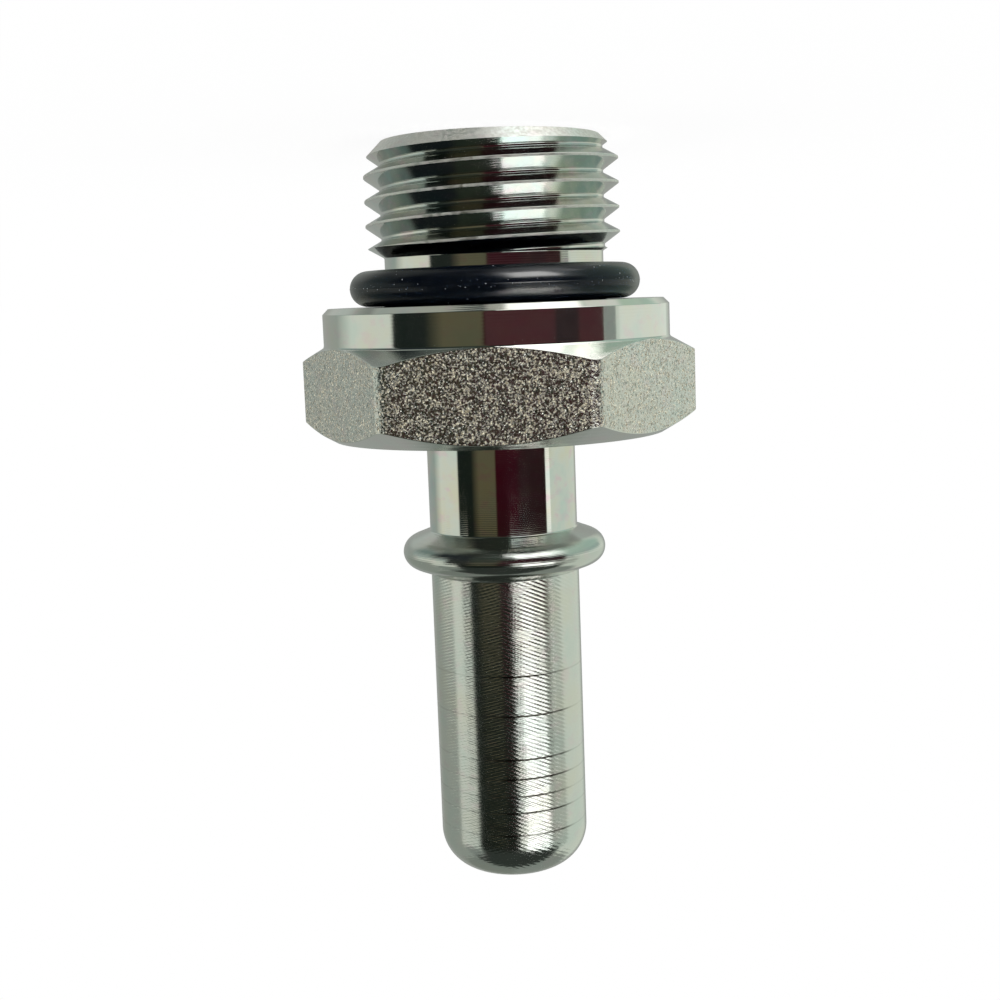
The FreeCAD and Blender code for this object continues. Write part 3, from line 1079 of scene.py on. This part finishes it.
@dataclass
class FittingBody:
    """The one-piece metal body. Heights are above the thread's end face, in millimetres."""

    lead_in_radius: float = 6.8
    thread_radius: float = 7.93
    shoulder_start: float = 6.476
    undercut_radius: float = 6.85
    undercut_start: float = 7.1
    collar_face: float = 10.1
    collar_radius: float = 10.88
    collar_chamfer: float = 0.36
    collar_end: float = 12.5
    past_corners: float = 12.75
    chamfer_slope: float = 30.0
    hexagon_end: float = 18.34
    hexagon_face_radius: float = 10.45
    neck_radius: float = 4.715
    bead_foot: float = 24.335
    bead_middle: float = 25.70
    bead_centre_radius: float = 5.48
    bead_crest: float = 1.0
    bead_flank: float = 21.0
    spigot_foot: float = 27.053
    spigot_radius: float = SPIGOT_RADIUS
    tip_start: float = 44.104
    tip_radius: float = 2.6
    tip_face_radius: float = 3.0
    end: float = 46.559
    bore_radius: float = 2.75
    bore_chamfer: float = 0.25
    score_lines: tuple[float, ...] = SCORE_LINES
    score_depth: float = 0.006
    score_half_width: float = 0.055
    score_floor: float = 0.3
    edge_break: float = 0.05
    arris: float = 0.04
    arris_steps: int = 2
    small_round: float = 0.12
    foot_round: float = 0.2
    neck_round: float = 0.3
    round_steps: int = 5
    bead_steps: int = 24
    tip_steps: int = 20
    spin_steps: int = 144
    sharp_angle: float = 25.0
    steep: float = 0.05
    lead_in_tilt: float = -0.6
    underside_tilt: float = -0.2
    slack: float = 0.01
    bar: HexagonBar = field(default_factory=HexagonBar)
    thread: ThreadTool = field(default_factory=ThreadTool)

    def outline(self) -> Outline:
        """Draw the outline of the blank, from the bore's mouth round the outside and back down the bore.

        Returns:
            The closed outline.
        """
        outline = Outline()
        outline.line_to(self.bore_radius + self.bore_chamfer, 0.0)
        lead_top = (self.thread_radius, self.thread_radius - self.lead_in_radius)
        outline.round_corner(self.lead_in_radius, 0.0, lead_top, self.edge_break)
        outline.line_to(*lead_top)
        outline.line_to(self.thread_radius, self.shoulder_start)
        wall_foot = (self.undercut_radius, self.collar_face)
        outline.round_corner(self.undercut_radius, self.undercut_start, wall_foot, self.small_round)
        self.add_collar(outline, wall_foot)
        self.add_hexagon(outline)
        self.add_bead(outline)
        self.add_score_lines(outline)
        tip_centre = (self.spigot_radius - self.tip_radius, self.tip_start)
        last = math.degrees(math.acos((self.tip_face_radius - tip_centre[0]) / self.tip_radius))
        outline.arc(tip_centre, self.tip_radius, 0.0, last, self.tip_steps)
        outline.line_to(self.bore_radius, self.end - self.bore_chamfer)
        outline.line_to(self.bore_radius, self.bore_chamfer)
        return outline

    def add_collar(self, outline: Outline, foot: Point) -> None:
        """Draw the collar's face and its chamfered edge.

        Args:
            outline: The outline so far.
            foot: Where the undercut's wall meets the collar's face.
        """
        edge = self.collar_radius - self.collar_chamfer
        outline.round_corner(*foot, (edge, self.collar_face), self.foot_round, self.round_steps)
        chamfer_top = (self.collar_radius, self.collar_face + self.collar_chamfer)
        outline.round_corner(edge, self.collar_face, chamfer_top, self.edge_break)
        outline.round_corner(*chamfer_top, (self.collar_radius, self.collar_end), self.edge_break)

    def add_hexagon(self, outline: Outline) -> None:
        """Draw the hexagon's two chamfers, past its corners, and its end face down to the neck.

        Args:
            outline: The outline so far.
        """
        slope = math.tan(math.radians(self.chamfer_slope))
        past = self.past_corners
        collar_foot = (self.collar_radius, self.collar_end)
        chamfer_end = (past, self.collar_end + (past - self.collar_radius) * slope)
        outline.round_corner(*collar_foot, chamfer_end, self.foot_round, self.round_steps)
        outline.line_to(*chamfer_end)
        outline.line_to(past, self.hexagon_end - (past - self.hexagon_face_radius) * slope)
        face_foot = (self.neck_radius, self.hexagon_end)
        outline.round_corner(self.hexagon_face_radius, self.hexagon_end, face_foot, self.edge_break)
        neck_end = (self.neck_radius, self.bead_foot)
        outline.round_corner(*face_foot, neck_end, self.neck_round, self.round_steps)

    def add_bead(self, outline: Outline) -> None:
        """Draw the bead between the neck and the spigot.

        Args:
            outline: The outline so far.
        """
        flank = math.radians(self.bead_flank)
        crest_out = self.bead_centre_radius + self.bead_crest * math.sin(flank)
        half_crest = self.bead_crest * math.cos(flank)
        start = (crest_out, self.bead_middle - half_crest)
        outline.round_corner(self.neck_radius, self.bead_foot, start, self.small_round)
        centre = (self.bead_centre_radius, self.bead_middle)
        swing = 90.0 - self.bead_flank
        outline.arc(centre, self.bead_crest, -swing, swing, self.bead_steps)
        foot = (self.spigot_radius, self.spigot_foot)
        outline.round_corner(*foot, (self.spigot_radius, self.end), self.small_round)

    def add_score_lines(self, outline: Outline) -> None:
        """Draw the shallow score lines that go round the spigot.

        Args:
            outline: The outline so far.
        """
        half = self.score_half_width
        floor = half * self.score_floor
        bottom = self.spigot_radius - self.score_depth
        for height in self.score_lines:
            outline.line_to(self.spigot_radius, height - half)
            outline.line_to(bottom, height - floor)
            outline.line_to(bottom, height + floor)
            outline.line_to(self.spigot_radius, height + half)

    def is_bar_skin(self, face: bpy.types.MeshPolygon) -> bool:
        """Tell whether a face is the bar's own skin, on a wrench flat or on a rounded corner.

        Args:
            face: The face.

        Returns:
            True on the bar's skin.
        """
        centre = face.center
        within = self.collar_end < centre.z < self.hexagon_end
        upright = abs(face.normal.z) < self.steep
        return within and upright and math.hypot(centre.x, centre.y) > self.bar.half_flats - self.steep

    def break_arrises(self, body: bpy.types.Object) -> None:
        """Take the sharpness off the edges between the hexagon's sides and its two chamfers.

        Args:
            body: The turned bar.
        """
        Bench.select_faces(body, self.is_bar_skin)
        bpy.ops.mesh.region_to_loop()
        bpy.ops.mesh.bevel(offset=self.arris, segments=self.arris_steps, affect="EDGES")
        bpy.ops.object.mode_set(mode="OBJECT")

    def zone_of(self, face: bpy.types.MeshPolygon) -> Zone:
        """Tell which zone of the body a face belongs to.

        Args:
            face: The face.

        Returns:
            Its zone.
        """
        centre = face.center
        radius = math.hypot(centre.x, centre.y)
        if radius < self.tip_face_radius + self.slack:
            return Zone.BORE
        if centre.z < self.undercut_start - 5 * self.slack:
            return self.thread_zone_of(face, radius)
        if centre.z < self.collar_face + self.slack:
            return Zone.UNDERCUT
        if centre.z < self.collar_end - 2 * self.slack:
            return Zone.COLLAR
        if self.is_bar_skin(face):
            return Zone.FLAT
        if centre.z < self.hexagon_end + self.slack:
            return Zone.CHAMFER
        if centre.z < self.spigot_foot:
            return Zone.BEAD if radius > self.neck_radius + 10 * self.slack else Zone.NECK
        return Zone.SPIGOT

    def thread_zone_of(self, face: bpy.types.MeshPolygon, radius: float) -> Zone:
        """Tell which zone a face below the undercut belongs to.

        Args:
            face: The face.
            radius: How far its middle is from the axis.

        Returns:
            Its zone.
        """
        height = face.center.z
        near_lead_in = abs(radius - height - self.lead_in_radius) < 4 * self.slack
        if height < 6 * self.slack or (near_lead_in and face.normal.z < self.lead_in_tilt):
            return Zone.END_FACE
        if radius > self.thread_radius - 2.5 * self.slack:
            return Zone.CREST
        # Downward flanks get the darker copy of the steel, which is painted shade.
        return Zone.THREAD_UNDERSIDE if face.normal.z < self.underside_tilt else Zone.THREAD

    def dress(self, body: bpy.types.Object) -> None:
        """Give each zone of the body its finish.

        Args:
            body: The finished mesh.
        """
        Bench.take(body)
        zones = list(Zone)
        body.data.materials.clear()
        for zone in zones:
            body.data.materials.append(FINISHES[zone].make())
        for number, zone in enumerate(zones):
            count = Bench.select_faces(body, lambda face, zone=zone: self.zone_of(face) is zone)
            body.active_material_index = number
            bpy.ops.object.material_slot_assign()
            bpy.ops.object.mode_set(mode="OBJECT")
            LOG.info("%s: %d faces", zone.value, count)

    def build(self) -> bpy.types.Object:
        """Turn the bar, thread it and dress it.

        Returns:
            The finished piece.
        """
        half_step = 180.0 / self.spin_steps
        body = Bench.draw_chain("coupling_body", self.outline().placed(half_step))
        Bench.spin_round(body, self.spin_steps)
        Bench.combine(body, self.bar.make(), "INTERSECT")
        self.break_arrises(body)
        Bench.combine(body, self.thread.make(), "DIFFERENCE")
        self.dress(body)
        Bench.smooth(body, self.sharp_angle)
        Bench.bring_to_metres(body)
        Bench.hand_over(body, "fitting_body", "plated_steel")
        return body


@dataclass
class ORing:
    """The rubber O-ring in the undercut, with the fine flash line of its mould."""

    section_radius: float = 1.1
    centre_radius: float = 7.99
    height: float = O_RING_HEIGHT
    flash_height: float = 0.02
    flash_half_angle: float = 1.6
    section_steps: int = 48
    spin_steps: int = 192
    sharp_angle: float = 40.0

    def outline(self) -> Outline:
        """Draw the round section, with a flash line on its outer and inner side.

        Returns:
            The closed section.
        """
        outline = Outline()
        centre = (self.centre_radius, self.height)
        ridge = self.section_radius + self.flash_height
        for first, side in ((0.0, 1.0), (180.0, -1.0)):
            outline.line_to(self.centre_radius + side * ridge, self.height)
            start = first + self.flash_half_angle
            last = first + 180.0 - self.flash_half_angle
            outline.arc(centre, self.section_radius, start, last, self.section_steps // 2)
        return outline

    def build(self) -> bpy.types.Object:
        """Spin and dress the O-ring.

        Returns:
            The finished piece.
        """
        ring = Bench.draw_chain("seal_ring", self.outline().placed(0.0))
        Bench.spin_round(ring, self.spin_steps)
        ring.data.materials.clear()
        ring.data.materials.append(RubberFinish().make())
        Bench.smooth(ring, self.sharp_angle)
        Bench.bring_to_metres(ring)
        Bench.hand_over(ring, "o_ring", "nitrile_rubber")
        return ring


@dataclass(frozen=True)
class Panel:
    """A patch of the room: where it is, how soft its edge is, and how bright.

    Angles are in degrees. Sideways they are counted from the camera, to the right as the camera sees it, and
    upwards from the level of the part, towards the spigot's tip.
    """

    name: str
    sideways: Limits
    upwards: Limits
    colour: Colour
    soft: float = 4.0

    def cover(self, sideways: Signal, upwards: Signal) -> Signal:
        """Tell how much of a direction the panel covers.

        Args:
            sideways: The direction's angle sideways.
            upwards: Its angle upwards.

        Returns:
            0 outside the panel, 1 on it.
        """
        half = self.soft / 2
        left, right = self.sideways
        low, high = self.upwards
        across = sideways.ramped(left - half, left + half) * sideways.ramped(right + half, right - half)
        return across * upwards.ramped(low - half, low + half) * upwards.ramped(high + half, high - half)


@dataclass(frozen=True)
class Room:
    """The room that the metal mirrors, by the direction in which each ray leaves it.

    The metal's sharp stripes are the stripes of this room: pale walls at both sides, dark things in front,
    and a lamp low on the right.
    """

    camera_side: tuple[float, float] = (-0.0567, -0.9984)
    right_side: tuple[float, float] = (-0.9984, 0.0567)
    slant: float = 0.25
    slant_limits: Limits = (-12.0, 24.0)
    panels: tuple[Panel, ...] = (
        Panel("brown_shelf", (-7.0, 73.0), (-0.7, 4.4), (0.070, 0.026, 0.029), 1.5),
        Panel("dark_shelf", (38.0, 54.0), (-0.7, 4.4), (0.030, 0.020, 0.021), 3.0),
        Panel("right_shelf", (86.0, 150.0), (-0.7, 4.2), (0.80, 0.85, 0.76), 3.0),
        Panel("left_shade", (-150.0, -92.0), (10.5, 46.0), (0.31, 0.34, 0.30), 3.0),
        Panel("left_ledge", (-128.0, -69.0), (-14.0, -3.3), (0.36, 0.44, 0.41), 1.4),
        Panel("front_ledge", (-69.0, -8.0), (-14.0, -3.3), (0.024, 0.031, 0.024), 1.4),
        Panel("right_ledge", (73.0, 140.0), (-14.0, -3.3), (0.36, 0.46, 0.42), 1.4),
        Panel("cream_high", (-92.0, -57.0), (10.5, 40.0), (0.66, 0.70, 0.62), 2.0),
        Panel("dark_middle", (-57.0, 9.0), (10.0, 91.0), (0.009, 0.013, 0.009), 2.0),
        Panel("dark_high", (-85.0, 80.0), (30.0, 91.0), (0.035, 0.042, 0.036), 6.0),
        Panel("left_high", (-181.0, -85.0), (46.0, 91.0), (0.22, 0.25, 0.22), 8.0),
        Panel("right_high", (80.0, 181.0), (46.0, 91.0), (0.26, 0.29, 0.26), 8.0),
        Panel("left_gap", (-92.0, -57.0), (25.0, 46.0), (0.25, 0.28, 0.25), 6.0),
        Panel("high_shade", (9.0, 92.0), (11.0, 31.0), (0.44, 0.48, 0.42), 1.5),
        Panel("glow_low", (9.0, 41.0), (11.6, 17.5), (1.9, 1.94, 1.85), 1.2),
        Panel("glow_high", (19.0, 59.0), (16.0, 31.0), (1.9, 1.94, 1.85), 1.5),
        Panel("left_sill", (-181.0, -134.0), (-34.0, -14.0), (0.50, 0.53, 0.49), 12.0),
        Panel("left_mid", (-128.0, -92.0), (-46.0, -16.0), (0.19, 0.26, 0.24), 14.0),
        Panel("left_table", (-181.0, -88.0), (-91.0, -38.0), (0.24, 0.26, 0.24), 14.0),
        Panel("left_floor", (-150.0, -90.0), (-86.0, -44.0), (0.38, 0.41, 0.37), 4.0),
        Panel("dark_table", (-96.0, -40.0), (-91.0, -16.0), (0.014, 0.020, 0.022), 10.0),
        Panel("front_table", (-42.0, 12.0), (-91.0, -16.0), (0.032, 0.044, 0.033), 8.0),
        Panel("right_table", (10.0, 181.0), (-91.0, -33.0), (0.46, 0.60, 0.50), 8.0),
        Panel("right_sill", (72.0, 150.0), (-34.0, -14.0), (0.42, 0.56, 0.48), 8.0),
        Panel("right_sheet", (150.0, 181.0), (-76.0, -37.0), (1.5, 1.5, 1.45), 3.0),
        Panel("right_below", (4.0, 178.0), (-91.0, -60.0), (1.5, 1.5, 1.45), 4.0),
        Panel("right_under", (113.0, 150.0), (-59.0, -44.0), (0.72, 0.74, 0.68), 4.0),
        Panel("straight_below", (-181.0, 181.0), (-91.0, -86.5), (0.42, 0.43, 0.38), 3.0),
        Panel("near_table", (-96.0, -6.0), (-72.0, -52.0), (0.15, 0.165, 0.15), 4.0),
        Panel("lamp_foot", (0.0, 104.0), (-73.0, -48.5), (3.0, 3.0, 2.9), 3.0),
        Panel("lamp_skirt", (50.0, 78.0), (-60.0, -24.0), (1.35, 1.45, 1.35), 14.0),
        Panel("lamp_core", (14.0, 60.0), (-62.0, -33.0), (18.0, 18.0, 17.5), 4.0),
        Panel("lamp_edge", (71.0, 79.0), (4.6, 10.0), (1.05, 1.08, 1.0), 1.0),
        Panel("ribbed_edge", (73.5, 83.0), (-2.0, 4.4), (0.28, 0.31, 0.28), 1.0),
    )

    def wall_stops(self) -> list[tuple[float, Colour]]:
        """Colour the room's walls, from the back, round the left, the front and the right.

        Returns:
            The stops of a ramp that goes once round the room.
        """
        back = (0.36, 0.38, 0.355)
        left = (0.35, 0.39, 0.35)
        cream = (0.71, 0.75, 0.66)
        green_black = (0.010, 0.015, 0.012)
        olive = (0.104, 0.096, 0.056)
        beside_cream = (0.54, 0.58, 0.51)
        maroon = (0.032, 0.003, 0.007)
        brown_black = (0.022, 0.010, 0.011)
        right = (0.66, 0.72, 0.63)
        walls = (
            (-180.0, back), (-150.0, back), (-127.0, left), (-117.0, beside_cream), (-108.0, cream),
            (-71.0, cream), (-69.0, green_black), (-46.0, green_black), (-34.0, olive), (-9.0, olive),
            (-7.0, maroon), (22.0, maroon), (32.0, brown_black), (72.0, brown_black), (74.0, right),
            (150.0, right), (164.0, back), (180.0, back),
        )
        return [((angle + 180.0) / 360.0, colour) for angle, colour in walls]

    def seen_by_metal(self, desk: NodeDesk) -> bpy.types.NodeSocket:
        """Work out the colour of the room in the direction of a ray.

        Args:
            desk: The world's desk.

        Returns:
            The colour's socket.
        """
        way = desk.add("ShaderNodeTexCoord").outputs["Generated"]
        ahead = desk.dot(way, (*self.camera_side, 0.0))
        right = desk.dot(way, (*self.right_side, 0.0))
        sideways = desk.maths("ARCTAN2", right, ahead) * math.degrees(1.0)
        upwards = desk.maths("ARCSINE", desk.dot(way, (0.0, 0.0, 1.0)).at_most(1.0).at_least(-1.0))
        upwards = upwards * math.degrees(1.0)
        lowest, highest = self.slant_limits
        leaning = sideways + upwards.at_least(lowest).at_most(highest) * self.slant
        walls = desk.add("ShaderNodeValToRGB", {"stops": self.wall_stops()}, {0: leaning / 360.0 + 0.5})
        colour = walls.outputs["Color"]
        for panel in self.panels:
            colour = desk.blend(panel.cover(sideways, upwards), colour, panel.colour)
            colour.node.label = panel.name
        return colour


@dataclass
class Studio:
    """The pale floor, the light and the camera."""

    focal_length: float = 53.96
    sensor: float = 36.0
    place: Triple = (-5.398, -95.098, 9.641)
    right: Triple = (-0.99789, 0.05348, 0.03664)
    up: Triple = (-0.02902, 0.13702, -0.99014)
    back: Triple = (-0.05797, -0.98912, -0.13518)
    clip: Limits = (0.001, 100.0)
    floor_size: float = 6.0
    floor_cuts: int = 3
    floor_shadow: float = 0.08
    brightest: float = 1.6
    room: Room = field(default_factory=Room)

    def add_camera(self) -> bpy.types.Object:
        """Place the camera, which is turned upside down because the part stands on its thread.

        Returns:
            The camera.
        """
        turn = Matrix((self.right, self.up, self.back)).transposed()
        Bench.clear()
        bpy.ops.object.camera_add(location=Vector(self.place) * MILLIMETRE, rotation=turn.to_euler())
        camera = bpy.context.object
        camera.name = "camera"
        camera.data.sensor_fit = "HORIZONTAL"
        camera.data.sensor_width = self.sensor
        camera.data.lens = self.focal_length
        camera.data.clip_start, camera.data.clip_end = self.clip
        bpy.context.scene.camera = camera
        return camera

    def add_floor(self) -> bpy.types.Object:
        """Lay the pale floor that the part stands on.

        Returns:
            The floor.
        """
        Bench.clear()
        bpy.ops.mesh.primitive_plane_add(size=self.floor_size, location=(0.0, 0.0, 0.0))
        floor = bpy.context.object
        floor.name = "floor"
        bpy.ops.object.mode_set(mode="EDIT")
        bpy.ops.mesh.select_all(action="SELECT")
        bpy.ops.mesh.subdivide(number_cuts=self.floor_cuts)
        bpy.ops.object.mode_set(mode="OBJECT")
        floor.data.materials.append(self.floor_material())
        return floor

    def floor_material(self) -> bpy.types.Material:
        """Make the floor's white, which keeps the part's shadow and isn't there for what the metal mirrors.

        Returns:
            The material.
        """
        material, desk = NodeDesk.for_material("pale_floor")
        paper = desk.add("ShaderNodeBsdfDiffuse", None, {"Color": (*WHITE, 1.0)}).outputs[0]
        glow = desk.add("ShaderNodeEmission", None, {"Color": (*WHITE, 1.0), "Strength": 1.0}).outputs[0]
        surface = desk.add("ShaderNodeMixShader", None, {0: self.floor_shadow, 1: glow, 2: paper}).outputs[0]
        path = desk.add("ShaderNodeLightPath").outputs
        mirrored = Signal(desk, path["Is Glossy Ray"]) + Signal(desk, path["Is Transmission Ray"])
        clear = desk.add("ShaderNodeBsdfTransparent").outputs[0]
        result = desk.add("ShaderNodeMixShader", None, {0: mirrored, 1: surface, 2: clear})
        desk.add("ShaderNodeOutputMaterial", None, {"Surface": result.outputs[0]})
        return material

    def light(self) -> None:
        """Light the part with an even pale world, and let the metal mirror the room."""
        world = bpy.data.worlds.new("studio")
        world.use_nodes = True
        bpy.context.scene.world = world
        world.cycles.sampling_method = "NONE"
        desk = NodeDesk(world.node_tree)
        path = desk.add("ShaderNodeLightPath")
        mirrored = Signal(desk, path.outputs["Is Glossy Ray"])
        colour = desk.blend(mirrored, WHITE, self.room.seen_by_metal(desk))
        background = desk.add("ShaderNodeBackground", None, {"Color": colour, "Strength": 1.0})
        desk.add("ShaderNodeOutputWorld", None, {"Surface": background.outputs[0]})

    def build(self) -> None:
        """Set up the whole studio."""
        self.add_camera()
        self.add_floor()
        self.light()
        bpy.context.scene.view_settings.view_transform = "Standard"
        bpy.context.scene.cycles.blur_glossy = 0.0
        bpy.context.scene.cycles.sample_clamp_direct = self.brightest
        bpy.context.scene.cycles.sample_clamp_indirect = self.brightest
        LOG.info("studio ready")


def main() -> None:
    """Build the studio and both pieces, and report on them."""
    logging.basicConfig(level=logging.INFO, format="%(name)s: %(message)s")
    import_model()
    Studio().build()
    FittingBody().build()
    ORing().build()
    Bench.clear()


if __name__ == "__main__":
    main()
